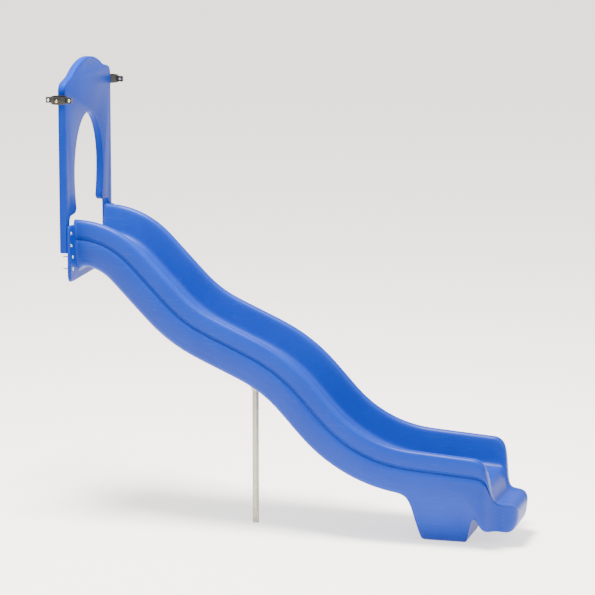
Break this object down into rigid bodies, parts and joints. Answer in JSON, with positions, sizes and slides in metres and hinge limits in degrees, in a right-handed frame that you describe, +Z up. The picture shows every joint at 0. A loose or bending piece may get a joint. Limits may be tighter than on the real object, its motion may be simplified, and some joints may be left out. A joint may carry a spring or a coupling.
{
  "type": "wave slide",
  "caption": "Moulded double-wall wave chute with side rails, entry flange, exit lip and foot, an arched entry hood with post clamps, and a pipe leg.",
  "frame": {"origin": "centre of the four deck bolts on the rear face of the entry flange, on the slide's centre plane; the deck's surface is 65 mm above it and the ground 1764 mm below it", "axes": "+X down the slide's run, away from the deck; +Y across it, to the left of someone sitting on it and looking down; +Z up"},
  "size_m": [3.0337, 1.189, 3.056],
  "materials": {
    "moulded_shell": "satin rotomoulded polyethylene, blue right through, with a faint orange peel",
    "clamp_coat": "black powder coat on cast aluminium",
    "zinc_steel": "zinc-plated steel",
    "brass_fitting": "plain turned brass, or yellow-passivated on the lock screws",
    "galvanised_steel": "hot-dip galvanised steel, weathered dull"
  },
  "bodies": {
    "root": {"chute": "moulded_shell", "hood": "moulded_shell", "left_clamp_inner": "clamp_coat", "left_clamp_outer": "clamp_coat", "right_clamp_inner": "clamp_coat", "right_clamp_outer": "clamp_coat", "clamp_bolts": "zinc_steel", "clamp_nuts": "zinc_steel", "clamp_lock_screws": "brass_fitting", "hood_edge_screws": "zinc_steel", "hood_edge_inserts": "brass_fitting", "hood_leg_bolts": "zinc_steel", "hood_leg_washers": "zinc_steel", "hood_leg_inserts": "brass_fitting", "deck_bolts": "zinc_steel", "deck_washers": "zinc_steel", "saddle_bracket": "galvanised_steel", "saddle_bolts": "zinc_steel", "saddle_washers": "zinc_steel", "saddle_inserts": "brass_fitting", "support_pipe": "galvanised_steel", "pipe_bolt": "zinc_steel", "pipe_nut": "zinc_steel", "foot_inserts": "brass_fitting", "hood_vent_plug": "moulded_shell"}
  },
  "joints": []
}
